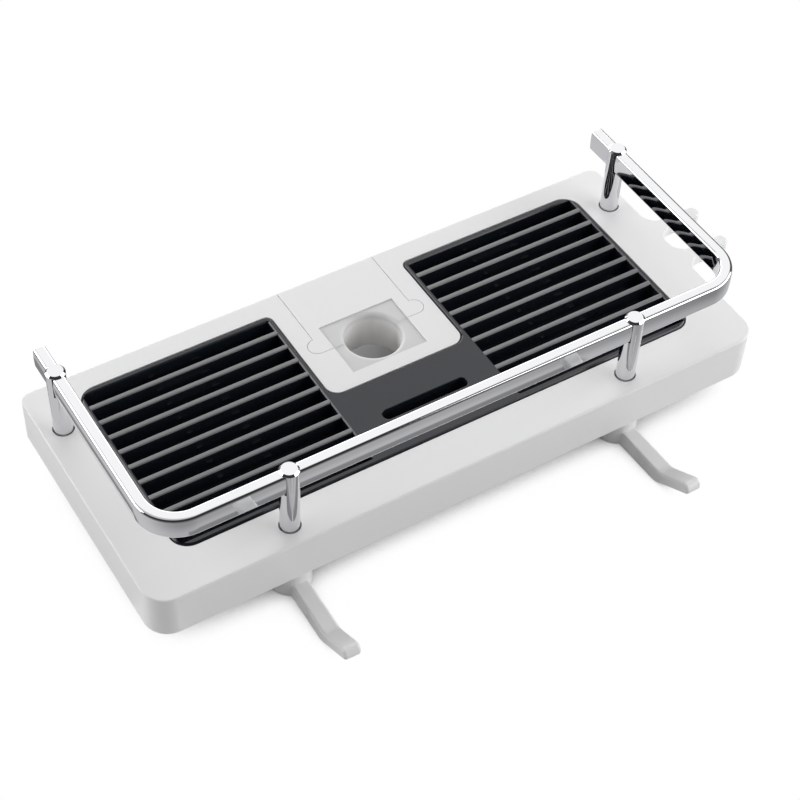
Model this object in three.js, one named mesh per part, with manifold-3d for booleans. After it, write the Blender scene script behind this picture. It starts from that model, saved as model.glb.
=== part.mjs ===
// Shower rail shelf: a moulded tray that closes round an upright shower rail, with a ribbed drain
// insert, a chrome guard rail on four posts, two swivelling hooks and two prongs on its right end.
// Millimetres, +X to the right, +Y to the back, +Z up.
// The origin is on the shower rail's axis, level with the tray's underside.
import * as THREE from 'three';
import { mergeVertices } from 'three/addons/utils/BufferGeometryUtils.js';
import Module from 'manifold-3d';

const wasm = await Module();
wasm.setup();

// Tray
const trayLength = 300;
const trayDepth = 127.7;
const trayHeight = 22.3;
const trayWall = 2.6;
const deckThickness = 2.8;
const trayFrontRadius = 11;
const trayBackRadius = 5;
const trayEdgeRadius = 0.8;
const railSetback = 43.1; // shower rail's axis to the tray's back face
const stiffenerWidth = 1.6;
const stiffenerRise = 3; // underside to the stiffeners' lower edges

// Rail bore and its two grip pads
const boreDiameter = 26;
const boreRimRadius = 1.9;
const padSideWall = 5.7;
const padEndWall = 2.1;
const padRecess = 1.2; // deck to the pads' top
const padLip = 2; // thickness of the ledge under the pads
const padLipClearance = 1.2; // bore wall to the ledge's edge
const partingSetback = 1.2; // shower rail's axis to the parting face

// Clamp block, and the tray's material round it
const clampSideWall = 5.9;
const clampShell = 2.6;
const earRadius = 4.2;
const earOffset = 0.4; // block's side to the middle of its ear
const earFloor = 2;
const blockSideWall = 4.8;
const blockFrontWall = 7.7;
const blockCornerRadius = 6;

// Drain insert, and its pocket in the deck
const insertEndMargin = 20.1; // tray's end to the insert
const insertFrontMargin = 21.2;
const insertBackMargin = 10.75;
const insertCornerRadius = 8;
const insertLegRadius = 2.5;
const insertHeight = 10;
const insertProud = 0.5; // how far its rim stands above the deck
const insertFloor = 2;
const insertEdgeRadius = 0.8;
const rimWidth = 2.8;
const endRimWidth = 4.2;
const innerRimWidth = 2.35;
const ribCount = 9;
const ribWidth = 2.2;
const plateThickness = 2.5;
const plateBorder = 4;
const slotLength = 42.6;
const slotWidth = 6.8;
const slotInset = 20.15; // insert's front edge to the middle of the slot
const slotWall = 1.6; // of the pocket that hangs under the slot
const drainSlotLength = 26;
const drainSlotWidth = 2.4;
const pocketWall = 2;
const pocketFloor = 2;

// Guard rail and posts
const barHeight = 11;
const barThickness = 6;
const barEdgeRadius = 1.4;
const barRise = 23.5; // deck to the bar's underside
const barCornerRadius = 16; // on the bar's middle line
const barEndInset = 9.4; // tray's end to the side bar's middle line
const barFrontInset = 10.15;
const barBackInset = 9.2;
const postCheek = 0.95; // post's metal on each side of the bar
const postCap = 1; // bar's top to the post's top
const postEdgeRadius = 0.7;
const rearPostInset = 25.65; // tray's back face to the rear posts
const frontPostSpacing = 167;

// Screws and washers
const screwDiameter = 4;
const screwBite = 7.5; // length of the screw in the bar
const headOverhang = 1.8;
const headHeight = 2.4;
const washerBorder = 0.7;
const washerThickness = 0.8;
const bossWall = 2;
const rearBossRise = 9; // underside to the rear bosses' lower faces

// Hooks
const hubDrop = 14.5; // underside to the hub's lower face
const hubWall = 3.7;
const hubEdgeRadius = 1;
const counterboreDepth = 4.6;
const counterboreClearance = 0.9;
const bushWall = 1;
const hookWidth = 7.9;
const hookThickness = 7.6;
const hookTipThickness = 5.6;
const hookRun = 33.6; // hub's axis to the bend in the arm's lower face
const hookTipLength = 24.4;
const hookTipAngle = THREE.MathUtils.degToRad(30.5);
const hookSplay = THREE.MathUtils.degToRad(1.5); // each arm's turn away from the middle
const hookBendRadius = 9;
const hookTipRadius = 1.8;
const hookEdgeRadius = 1.1;

// Prongs on the right end
const prongReach = 25.7; // tray's end to the prong's tip
const prongSpacing = 22;
const prongMiddle = 4.1; // tray's middle to the prongs' middle, towards the back
const prongWidth = 6.5;
const prongThickness = 6;
const prongRootRadius = 7.7;
const prongEdgeShare = 0.45; // largest edge radius, as a share of the prong's section

// Clearances
const fitGap = 0.3; // between pieces that slide or pass through each other
const seatGap = 0.1; // between flat faces that rest on each other
const overcut = 1; // how far a cut runs past the face that it opens

// Worked out from the sizes above
const trayHalf = trayLength / 2;
const trayBack = railSetback;
const trayFront = trayBack - trayDepth;
const trayMiddle = (trayBack + trayFront) / 2;
const deckUnder = trayHeight - deckThickness;
const deckMiddle = trayHeight - deckThickness / 2;
const boreRadius = boreDiameter / 2;
const padHalf = boreRadius + padSideWall;
const padReach = boreRadius + padEndWall;
const padTop = trayHeight - padRecess;
const clampHalf = padHalf + clampSideWall;
const clampFront = partingSetback + fitGap;
const earX = clampHalf + earOffset;
const earY = clampFront + earRadius;
const blockHalf = earX + earRadius + blockSideWall;
const blockFront = -padReach - blockFrontWall;
const insertHalf = trayHalf - insertEndMargin;
const insertFront = trayFront + insertFrontMargin;
const insertBack = trayBack - insertBackMargin;
const insertTop = trayHeight + insertProud;
const insertBottom = insertTop - insertHeight;
const insertFloorTop = insertBottom + insertFloor;
const notchHalf = blockHalf + fitGap;
const notchFront = blockFront - fitGap;
const panelInner = notchHalf + innerRimWidth;
const panelOuter = insertHalf - endRimWidth;
const panelMiddle = (panelInner + panelOuter) / 2;
const panelFront = insertFront + rimWidth;
const panelBack = insertBack - rimWidth;
const ribPitch = (insertBack - insertFront - rimWidth) / (ribCount + 1);
const pocketTop = insertBottom - seatGap;
const pocketUnder = pocketTop - pocketFloor;
const barBottom = trayHeight + barRise;
const barTop = barBottom + barHeight;
const sideBarX = trayHalf - barEndInset;
const frontBarY = trayFront + barFrontInset;
const barBack = trayBack - barBackInset;
const postRadius = barThickness / 2 + fitGap + postCheek;
const postTop = barTop + postCap;
const rearPostY = trayBack - rearPostInset;
const screwRadius = screwDiameter / 2;
const screwHole = screwRadius + fitGap;
const screwTip = barBottom + screwBite;
const headRadius = screwRadius + headOverhang;
const washerRadius = headRadius + washerBorder;
const bossRadius = washerRadius + bossWall;
const counterboreRadius = washerRadius + counterboreClearance;
const counterboreTop = counterboreDepth - hubDrop;
const hubRadius = counterboreRadius + hubWall;
const bushRadius = screwHole + bushWall;
const bushBottom = counterboreTop - fitGap;
const prongEdge = Math.min(trayEdgeRadius, prongEdgeShare * prongThickness, prongEdgeShare * prongWidth);
const frontProngY = trayMiddle + prongMiddle - prongSpacing / 2;
const rearProngY = frontProngY + prongSpacing;

const posts = [
  { side: 'rear_left', x: -sideBarX, y: rearPostY, alongX: false },
  { side: 'rear_right', x: sideBarX, y: rearPostY, alongX: false },
  { side: 'front_left', x: -frontPostSpacing / 2, y: frontBarY, alongX: true },
  { side: 'front_right', x: frontPostSpacing / 2, y: frontBarY, alongX: true },
];
const isFront = (post) => post.alongX;

// How finely round shapes are divided
const arcSteps = 3;
const edgeSteps = 3;
const smallRoundSteps = 20;
const largeRoundSteps = 40;
const largeRoundShare = 0.27; // of the bore's diameter, from which a radius gets the larger count
const largeRoundFrom = boreDiameter * largeRoundShare;
const roundSteps = (radius) => (radius < largeRoundFrom ? smallRoundSteps : largeRoundSteps);

// Finishes
const whitePlastic = { color: 0xeeeeec, roughness: 0.38, metalness: 0 };
const blackPlastic = { color: 0x15171a, roughness: 0.3, metalness: 0 };
const gripSilicone = { color: 0xd4d6d6, roughness: 0.5, metalness: 0 };
const chromePlate = { color: 0xe6e8ea, roughness: 0.06, metalness: 1 };
const steel = { color: 0xb4b6b8, roughness: 0.3, metalness: 1 };
const bushPlastic = { color: 0xcfccc4, roughness: 0.5, metalness: 0 };

// Solids from geometry, and geometry from solids

function solid(geometry) {
  const bare = geometry.clone();
  bare.deleteAttribute('normal');
  bare.deleteAttribute('uv');
  const merged = mergeVertices(bare);
  return new wasm.Manifold(new wasm.Mesh({
    numProp: 3,
    vertProperties: new Float32Array(merged.attributes.position.array),
    triVerts: new Uint32Array(merged.index.array),
  }));
}

function surface(body) {
  const mesh = body.getMesh();
  const geometry = new THREE.BufferGeometry();
  geometry.setAttribute('position', new THREE.BufferAttribute(mesh.vertProperties, 3));
  geometry.setIndex(new THREE.BufferAttribute(mesh.triVerts, 1));
  return geometry.toNonIndexed();
}

// Basic shapes

// An outline through [x, y, radius] corners, given anticlockwise, each rounded by its own arc.
function outline(corners) {
  const shape = new THREE.Shape();
  corners.forEach(([x, y, radius], i) => {
    const corner = new THREE.Vector2(x, y);
    const before = corners.at(i - 1);
    const after = corners[(i + 1) % corners.length];
    const back = new THREE.Vector2(before[0], before[1]).sub(corner).normalize();
    const ahead = new THREE.Vector2(after[0], after[1]).sub(corner).normalize();
    if (radius > 0) {
      const halfAngle = Math.acos(back.dot(ahead)) / 2;
      const middle = back.clone().add(ahead).normalize();
      const centre = corner.clone().addScaledVector(middle, radius / Math.sin(halfAngle));
      const reach = radius / Math.tan(halfAngle);
      const start = corner.clone().addScaledVector(back, reach).sub(centre);
      const end = corner.clone().addScaledVector(ahead, reach).sub(centre);
      const clockwise = back.cross(ahead) > 0;
      shape.absarc(centre.x, centre.y, radius, start.angle(), end.angle(), clockwise);
    } else if (i === 0) {
      shape.moveTo(x, y);
    } else {
      shape.lineTo(x, y);
    }
  });
  return shape;
}

function rectangle(left, front, right, back, radius = 0) {
  return outline([
    [left, front, radius],
    [right, front, radius],
    [right, back, radius],
    [left, back, radius],
  ]);
}

function slab(shape, bottom, top) {
  const options = { depth: top - bottom, bevelEnabled: false, curveSegments: arcSteps };
  return solid(new THREE.ExtrudeGeometry(shape, options).translate(0, 0, bottom));
}

// A slab whose top and bottom edges are rounded.
function softSlabGeometry(shape, bottom, top, radius) {
  const options = {
    depth: top - bottom - 2 * radius,
    bevelSize: radius,
    bevelOffset: -radius,
    bevelThickness: radius,
    bevelSegments: edgeSteps,
    curveSegments: arcSteps,
  };
  return new THREE.ExtrudeGeometry(shape, options).translate(0, 0, bottom + radius);
}

function softSlab(shape, bottom, top, radius) {
  return solid(softSlabGeometry(shape, bottom, top, radius));
}

function block(left, front, bottom, right, back, top) {
  const box = new THREE.BoxGeometry(right - left, back - front, top - bottom);
  return solid(box.translate((left + right) / 2, (front + back) / 2, (bottom + top) / 2));
}

function rod(radius, bottom, top, x = 0, y = 0) {
  const cylinder = new THREE.CylinderGeometry(radius, radius, top - bottom, roundSteps(radius));
  return solid(cylinder.rotateX(Math.PI / 2).translate(x, y, (bottom + top) / 2));
}

// A turned solid, from [radius, height] points in order from its foot to its top.
function turned(profile) {
  const points = profile.map(([radius, height]) => new THREE.Vector2(radius, height));
  const widest = Math.max(...profile.map(([radius]) => radius));
  return solid(new THREE.LatheGeometry(points, roundSteps(widest)).rotateX(Math.PI / 2));
}

function ring(outerRadius, innerRadius, bottom, top) {
  return rod(outerRadius, bottom, top).subtract(rod(innerRadius, bottom - overcut, top + overcut));
}

// Tray

function trayOutline(inset) {
  const half = trayHalf - inset;
  const front = trayFront + inset;
  const back = trayBack - inset;
  const frontRadius = trayFrontRadius - inset;
  const backRadius = trayBackRadius - inset;
  return outline([
    [-half, front, frontRadius],
    [half, front, frontRadius],
    [half, back, backRadius],
    [-half, back, backRadius],
  ]);
}

// The deck's outline: the tray's, with the two prongs on its right end.
function deckOutline() {
  const half = prongWidth / 2;
  const gap = prongSpacing / 2 - half;
  const rootRadius = Math.min(prongRootRadius, gap - fitGap);
  const tipX = trayHalf + prongReach;
  const prongCorners = (y) => [
    [trayHalf, y - half, rootRadius],
    [tipX, y - half, half],
    [tipX, y + half, half],
    [trayHalf, y + half, rootRadius],
  ];
  return outline([
    [-trayHalf, trayFront, trayFrontRadius],
    [trayHalf, trayFront, trayFrontRadius],
    ...prongCorners(frontProngY),
    ...prongCorners(rearProngY),
    [trayHalf, trayBack, trayBackRadius],
    [-trayHalf, trayBack, trayBackRadius],
  ]);
}

// The tray's outer form, with its upper edge rounded and its lower edge square.
function trayBlank() {
  const whole = softSlab(trayOutline(0), -trayEdgeRadius, trayHeight, trayEdgeRadius);
  const reach = trayLength + trayDepth;
  const body = whole.subtract(block(-reach, -reach, -trayHeight, reach, reach, 0));
  const deck = softSlab(deckOutline(), trayHeight - prongThickness, trayHeight, prongEdge);
  return body.add(deck);
}

// The insert's U-shaped outline, grown by an even margin.
function insertOutline(margin) {
  const half = insertHalf + margin;
  const front = insertFront - margin;
  const back = insertBack + margin;
  const legHalf = notchHalf - margin;
  const legFront = notchFront + margin;
  const cornerRadius = insertCornerRadius + margin;
  const legRadius = insertLegRadius + margin;
  const notchRadius = blockCornerRadius + fitGap - margin;
  return outline([
    [-half, front, cornerRadius],
    [half, front, cornerRadius],
    [half, back, cornerRadius],
    [legHalf, back, legRadius],
    [legHalf, legFront, notchRadius],
    [-legHalf, legFront, notchRadius],
    [-legHalf, back, legRadius],
    [-half, back, cornerRadius],
  ]);
}

// The well that the grip pads stand in, and the mouth under them that lets the shower rail through.
function gripWell() {
  const half = padHalf + fitGap;
  const reach = padReach + fitGap;
  const mouthHalf = boreRadius + padLipClearance;
  const well = block(-half, -reach, padLip, half, reach, trayHeight + overcut);
  return well.add(block(-mouthHalf, -mouthHalf, -overcut, mouthHalf, mouthHalf, padLip + overcut));
}

function clampEars(radius, bottom, top) {
  return rod(radius, bottom, top, -earX, earY).add(rod(radius, bottom, top, earX, earY));
}

function clampBay() {
  const half = clampHalf + fitGap;
  const bay = block(-half, partingSetback, -overcut, half, trayBack + overcut, trayHeight + overcut);
  return bay.add(clampEars(earRadius + fitGap, earFloor, trayHeight + overcut));
}

function stiffeners() {
  const half = stiffenerWidth / 2;
  const front = trayFront + trayWall / 2;
  const back = trayBack - trayWall / 2;
  const rows = [-panelOuter, -panelInner, panelInner, panelOuter].map(
    (x) => block(x - half, front, stiffenerRise, x + half, back, pocketUnder),
  );
  return rows.reduce((sum, row) => sum.add(row));
}

// One long drain opening under each panel, crossing all its channels.
function trayDrains() {
  const half = drainSlotLength / 2 - rimWidth;
  const front = panelFront + rimWidth;
  const back = panelBack - rimWidth;
  const bottom = pocketUnder - overcut;
  const drain = (x) => block(x - half, front, bottom, x + half, back, trayHeight);
  return drain(-panelMiddle).add(drain(panelMiddle));
}

function makeTray() {
  let tray = trayBlank().subtract(slab(trayOutline(trayWall), -overcut, deckUnder));
  const inside = slab(trayOutline(trayWall / 2), 0, deckMiddle);
  tray = tray.add(slab(insertOutline(fitGap + pocketWall), pocketUnder, deckMiddle));
  tray = tray.add(stiffeners());
  tray = tray.add(block(-blockHalf, blockFront, 0, blockHalf, trayBack - trayWall / 2, deckMiddle));
  for (const post of posts) {
    const foot = isFront(post) ? 0 : rearBossRise;
    tray = tray.add(rod(bossRadius, foot, deckMiddle, post.x, post.y).intersect(inside));
  }
  tray = tray.subtract(slab(insertOutline(fitGap), pocketTop, trayHeight + overcut));
  tray = tray.subtract(trayDrains());
  tray = tray.subtract(clampBay()).subtract(gripWell());
  for (const post of posts) {
    tray = tray.subtract(rod(screwHole, -overcut, trayHeight + overcut, post.x, post.y));
  }
  return tray;
}

// Clamp

function makeClampBlock() {
  const body = block(-clampHalf, clampFront, 0, clampHalf, trayBack + overcut, trayHeight);
  const ears = clampEars(earRadius, earFloor + seatGap, trayHeight);
  const hollow = block(
    clampShell - clampHalf,
    padReach + fitGap + clampShell,
    -overcut,
    clampHalf - clampShell,
    trayBack - clampShell,
    deckUnder,
  );
  return body.add(ears).intersect(trayBlank()).subtract(gripWell()).subtract(hollow);
}

function makeGripPad(front, back) {
  const rim = Math.min(boreRimRadius, padEndWall);
  const flare = [[0, padTop - rim]];
  for (let step = 0; step <= edgeSteps; step += 1) {
    const angle = step / edgeSteps * Math.PI / 2;
    flare.push([boreRadius + rim - rim * Math.cos(angle), padTop - rim + rim * Math.sin(angle)]);
  }
  flare.push([boreRadius + rim, padTop + overcut], [0, padTop + overcut]);
  const pad = block(-padHalf, front, padLip + seatGap, padHalf, back, padTop);
  return pad.subtract(rod(boreRadius, -overcut, trayHeight)).subtract(turned(flare));
}

// Drain insert

// One rib along +X, with a round crest.
function rib(left, right, y) {
  const half = ribWidth / 2;
  const profile = outline([
    [-half, insertBottom, 0],
    [half, insertBottom, 0],
    [half, insertTop, half],
    [-half, insertTop, half],
  ]);
  const options = { depth: right - left, bevelEnabled: false, curveSegments: arcSteps };
  const geometry = new THREE.ExtrudeGeometry(profile, options);
  const turn = new THREE.Matrix4().makeBasis(
    new THREE.Vector3(0, 1, 0),
    new THREE.Vector3(0, 0, 1),
    new THREE.Vector3(1, 0, 0),
  );
  return solid(geometry.applyMatrix4(turn).translate(left, y, 0));
}

// The plate's long slot, grown by an even margin.
function slotOutline(margin) {
  const y = insertFront + slotInset;
  const half = slotLength / 2 + margin;
  const reach = slotWidth / 2 + margin;
  return rectangle(-half, y - reach, half, y + reach, reach);
}

function makeDrainGrille() {
  const back = insertBack - rimWidth / 2;
  let grille = softSlab(insertOutline(0), insertBottom, insertTop, insertEdgeRadius);
  for (const side of [-1, 1]) {
    const left = side > 0 ? panelInner : -panelOuter;
    const right = side > 0 ? panelOuter : -panelInner;
    grille = grille.subtract(
      block(left, panelFront, insertFloorTop, right, panelBack, insertTop + overcut),
    );
    for (let i = 0; i <= ribCount; i += 1) {
      const y = back - ribPitch * (i + 0.5);
      const x = side * panelMiddle;
      grille = grille.subtract(block(
        x - drainSlotLength / 2,
        y - drainSlotWidth / 2,
        insertBottom - overcut,
        x + drainSlotLength / 2,
        y + drainSlotWidth / 2,
        insertFloorTop + overcut,
      ));
    }
    for (let i = 1; i <= ribCount; i += 1) {
      grille = grille.add(rib(left - innerRimWidth / 2, right + innerRimWidth / 2, back - ribPitch * i));
    }
  }
  const hollow = block(
    plateBorder - notchHalf,
    insertFront + plateBorder,
    insertBottom - overcut,
    notchHalf - plateBorder,
    notchFront - plateBorder,
    insertTop - plateThickness,
  );
  const slotPocket = slab(slotOutline(slotWall), insertBottom, insertTop);
  grille = grille.subtract(hollow.subtract(slotPocket));
  return grille.subtract(slab(slotOutline(0), insertFloorTop, insertTop + overcut));
}

// Guard rail and posts

function makeGuardRail() {
  const half = barThickness / 2;
  const outerX = sideBarX + half;
  const innerX = sideBarX - half;
  const outerRadius = barCornerRadius + half;
  const innerRadius = barCornerRadius - half;
  const band = outline([
    [-outerX, frontBarY - half, outerRadius],
    [outerX, frontBarY - half, outerRadius],
    [outerX, barBack, 0],
    [innerX, barBack, 0],
    [innerX, frontBarY + half, innerRadius],
    [-innerX, frontBarY + half, innerRadius],
    [-innerX, barBack, 0],
    [-outerX, barBack, 0],
  ]);
  let bar = softSlab(band, barBottom, barTop, barEdgeRadius);
  for (const post of posts) {
    const hole = rod(screwHole, barBottom - overcut, screwTip + fitGap, post.x, post.y);
    bar = bar.subtract(hole);
  }
  return bar;
}

function makePost(alongX) {
  const foot = trayHeight + seatGap;
  const across = barThickness / 2 + fitGap;
  const along = postRadius + overcut;
  const bottom = barBottom - fitGap;
  const top = barTop + fitGap;
  const post = turned([
    [0, foot],
    [postRadius, foot],
    [postRadius, postTop - postEdgeRadius],
    [postRadius - postEdgeRadius, postTop],
    [0, postTop],
  ]);
  const window = alongX
    ? block(-along, -across, bottom, along, across, top)
    : block(-across, -along, bottom, across, along, top);
  return post.subtract(window).subtract(rod(screwHole, foot - overcut, barBottom));
}

// Screws, washers and bushes

// A pan-head screw whose head's upper face is at the given height.
function makeScrew(seat) {
  const foot = seat - headHeight;
  return turned([
    [0, foot],
    [screwRadius, foot],
    [headRadius, foot + headHeight / 2],
    [headRadius, seat],
    [screwRadius, seat],
    [screwRadius, screwTip],
    [0, screwTip],
  ]);
}

function makeWasher(top) {
  return ring(washerRadius, screwHole, top - washerThickness, top);
}

function makeHookBush() {
  return ring(bushRadius, screwHole, bushBottom, -seatGap);
}

// Hooks

// Built about the hub's axis, with the arm pointing to the front.
function makeHook() {
  const bottom = -hubDrop;
  const top = bottom + hookThickness;
  const tipY = -hookRun - hookTipLength * Math.cos(hookTipAngle);
  const tipZ = bottom + hookTipLength * Math.sin(hookTipAngle);
  const topTipY = tipY + hookTipThickness * Math.sin(hookTipAngle);
  const topTipZ = tipZ + hookTipThickness * Math.cos(hookTipAngle);
  const bendTop = topTipY + (topTipZ - top) / Math.tan(hookTipAngle);
  const side = outline([
    [0, bottom, 0],
    [0, top, 0],
    [bendTop, top, hookBendRadius],
    [topTipY, topTipZ, hookTipRadius],
    [tipY, tipZ, hookTipRadius],
    [-hookRun, bottom, hookBendRadius],
  ]);
  const turn = new THREE.Matrix4().makeBasis(
    new THREE.Vector3(0, 1, 0),
    new THREE.Vector3(0, 0, 1),
    new THREE.Vector3(1, 0, 0),
  );
  const half = hookWidth / 2;
  const arm = solid(softSlabGeometry(side, -half, half, hookEdgeRadius).applyMatrix4(turn));
  const hub = turned([
    [0, bottom],
    [hubRadius - hubEdgeRadius, bottom],
    [hubRadius, bottom + hubEdgeRadius],
    [hubRadius, -fitGap],
    [0, -fitGap],
  ]);
  const counterbore = rod(counterboreRadius, bottom - overcut, counterboreTop);
  return hub.add(arm).subtract(counterbore).subtract(rod(bushRadius + fitGap, bottom, overcut));
}

// The whole shelf

const shelf = new THREE.Group();

function addPiece(name, body, finish, x = 0, y = 0, turn = 0) {
  const mesh = new THREE.Mesh(surface(body), new THREE.MeshStandardMaterial(finish));
  mesh.name = name;
  mesh.position.set(x, y, 0);
  mesh.rotation.z = turn;
  shelf.add(mesh);
}

addPiece('tray_shell', makeTray(), whitePlastic);
addPiece('clamp_block', makeClampBlock(), whitePlastic);
addPiece('front_grip_pad', makeGripPad(-padReach, partingSetback), gripSilicone);
addPiece('rear_grip_pad', makeGripPad(clampFront, padReach), gripSilicone);
addPiece('drain_grille', makeDrainGrille(), blackPlastic);
addPiece('guard_rail', makeGuardRail(), chromePlate);
for (const post of posts) {
  const { side, x, y } = post;
  addPiece(`post_${side}`, makePost(post.alongX), chromePlate, x, y);
  const washerTop = isFront(post) ? bushBottom - seatGap : rearBossRise - seatGap;
  const headTop = washerTop - washerThickness - seatGap;
  const seat = isFront(post) ? 'hook' : 'rear_post';
  const hand = x < 0 ? 'left' : 'right';
  addPiece(`${seat}_screw_${hand}`, makeScrew(headTop), steel, x, y);
  addPiece(`${seat}_washer_${hand}`, makeWasher(washerTop), steel, x, y);
  if (isFront(post)) {
    addPiece(`hook_bush_${hand}`, makeHookBush(), bushPlastic, x, y);
    addPiece(`hook_${hand}`, makeHook(), whitePlastic, x, y, Math.sign(x) * hookSplay);
  }
}

export default shelf;
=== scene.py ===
import math

import bmesh
import bpy
from mathutils import Matrix, Vector


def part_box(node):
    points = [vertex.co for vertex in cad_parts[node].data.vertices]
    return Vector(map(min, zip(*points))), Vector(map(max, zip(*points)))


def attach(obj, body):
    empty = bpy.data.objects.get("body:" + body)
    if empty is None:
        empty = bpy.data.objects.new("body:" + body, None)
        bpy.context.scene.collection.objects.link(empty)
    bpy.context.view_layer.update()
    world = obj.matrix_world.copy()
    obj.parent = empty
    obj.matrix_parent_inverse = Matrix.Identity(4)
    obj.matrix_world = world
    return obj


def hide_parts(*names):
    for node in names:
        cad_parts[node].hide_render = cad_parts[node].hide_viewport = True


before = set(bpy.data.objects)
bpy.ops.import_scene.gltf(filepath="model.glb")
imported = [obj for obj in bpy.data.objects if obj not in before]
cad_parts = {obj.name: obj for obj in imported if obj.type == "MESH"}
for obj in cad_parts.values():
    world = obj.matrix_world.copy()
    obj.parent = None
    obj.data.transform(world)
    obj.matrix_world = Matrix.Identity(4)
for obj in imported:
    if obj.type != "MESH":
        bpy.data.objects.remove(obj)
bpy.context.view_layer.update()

mm = 0.001   # pieces are modelled in millimetres, in the CAD's frame, and brought to metres when placed
over = 2.0   # how far a cutter runs past the face it opens
lap = 1.0   # how far a part runs into the one it is joined to
leftRight = (-1, 1)
fineness = {   # straight steps that stand for a round
    "smallCorner": 4, "edge": 6, "railEdge": 7, "rib": 9, "corner": 10, "trayCorner": 12, "ear": 20,
    "railBend": 28, "hole": 32, "screw": 40, "washer": 48, "rod": 64, "post": 72, "bore": 96,
}
shading = {"sharpAngle": 32, "normalWeight": 80}


# outlines and solids

def outline(corners, steps=fineness["corner"]):   # corners are (x, y, radius), anticlockwise
    points = []
    for i, (x, y, radius) in enumerate(corners):
        here = Vector((x, y))
        if radius <= 0:
            points.append(here)
            continue
        back = (Vector(corners[i - 1][:2]) - here).normalized()
        ahead = (Vector(corners[(i + 1) % len(corners)][:2]) - here).normalized()
        half = back.angle(ahead) / 2
        centre = here + (back + ahead).normalized() * (radius / math.sin(half))
        start = here + back * (radius / math.tan(half)) - centre
        end = here + ahead * (radius / math.tan(half)) - centre
        first = math.atan2(start.y, start.x)
        sweep = math.atan2(start.cross(end), start.dot(end))
        for step in range(steps + 1):
            angle = first + sweep * step / steps
            points.append(centre + Vector((math.cos(angle), math.sin(angle))) * radius)
    return points


def rectangle(left, front, right, back, radius=0, steps=fineness["corner"]):
    corners = ((left, front), (right, front), (right, back), (left, back))
    return outline([(x, y, radius) for x, y in corners], steps)


def circle(radius, x=0, y=0, steps=fineness["rod"]):
    turns = [2 * math.pi * step / steps for step in range(steps)]
    return [Vector((x + radius * math.cos(angle), y + radius * math.sin(angle))) for angle in turns]


def grow(points, amount):   # the outline moved outwards, or inwards where the amount is negative
    if not amount:
        return points
    grown = []
    for i, here in enumerate(points):
        inward = (here - points[i - 1]).normalized()
        onward = (points[(i + 1) % len(points)] - here).normalized()
        side = Vector((inward.y, -inward.x))
        middle = (side + Vector((onward.y, -onward.x))).normalized()
        grown.append(here + middle * (amount / middle.dot(side)))
    return grown


def quarter(radius, steps=fineness["edge"]):   # a quarter round, as (inset, rise) at each step
    if not radius:
        return [(0, 0)]
    turns = [math.pi / 2 * step / steps for step in range(steps + 1)]
    return [(radius * (1 - math.cos(angle)), radius * math.sin(angle)) for angle in turns]


def softSides(bottom, top, low=0.0, high=0.0):   # a wall with a rounded foot and a rounded top edge
    foot = [(-inset, bottom + low - rise) for inset, rise in reversed(quarter(low))]
    return foot + [(-inset, top - high + rise) for inset, rise in quarter(high)]


def lipSides(bottom, top, lip, steps=fineness["edge"]):
    # a cutter that rounds the edge of the hole it makes, or bevels it in one step
    edge = [(out, top - lip + rise) for out, rise in quarter(lip, steps)]
    return [(0, bottom)] + edge + [(lip, top + over)]


def toPiece(name, work):
    mesh = bpy.data.meshes.new(name)
    work.to_mesh(mesh)
    work.free()
    piece = bpy.data.objects.new(name, mesh)
    bpy.context.scene.collection.objects.link(piece)
    return piece


def skin(work, rings):   # walls from ring to ring, with a cap at each end
    for low, high in zip(rings, rings[1:]):
        for i in range(len(low)):
            work.faces.new((low[i - 1], low[i], high[i], high[i - 1]))
    work.faces.new(list(reversed(rings[0])))
    work.faces.new(rings[-1])


def loft(name, points, sides):   # sides are (growth, height) from the foot to the top
    work = bmesh.new()
    rings = []
    for growth, height in sides:
        rings.append([work.verts.new((point.x, point.y, height)) for point in grow(points, growth)])
    skin(work, rings)
    return toPiece(name, work)


def prism(name, points, bottom, top):
    return loft(name, points, [(0, bottom), (0, top)])


def block(left, front, bottom, right, back, top):
    return prism("block", rectangle(left, front, right, back), bottom, top)


def rod(radius, bottom, top, x=0, y=0, steps=fineness["rod"]):
    return prism("rod", circle(radius, x, y, steps), bottom, top)


def turned(name, profile, steps, x=0, y=0):   # profile is (radius, height) from the foot to the top
    work = bmesh.new()
    rings = []
    for radius, height in profile:
        ring = [Vector((x, y))] if radius <= 0 else circle(radius, x, y, steps)
        rings.append([work.verts.new((point.x, point.y, height)) for point in ring])
    for low, high in zip(rings, rings[1:]):
        for i in range(steps):
            corners = [low[(i - 1) % len(low)], low[i % len(low)],
                       high[i % len(high)], high[(i - 1) % len(high)]]
            corners = list(dict.fromkeys(corners))   # a ring on the axis is a single point
            if len(corners) > 2:
                work.faces.new(corners)
    return toPiece(name, work)


def settle(piece):   # modifiers become plain mesh
    bpy.context.view_layer.update()
    shown = piece.evaluated_get(bpy.context.evaluated_depsgraph_get())
    mesh = bpy.data.meshes.new_from_object(shown)
    piece.modifiers.clear()
    old, piece.data = piece.data, mesh
    bpy.data.meshes.remove(old)
    return piece


def combine(body, operation, tools):
    for tool in tools:
        step = body.modifiers.new("step", "BOOLEAN")
        step.solver = "MANIFOLD"
        step.operation = operation
        step.object = tool
        settle(body)
        bpy.data.objects.remove(tool)
    return body


def cut(body, *tools):
    return combine(body, "DIFFERENCE", tools)


def join(body, *tools):
    return combine(body, "UNION", tools)


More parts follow.
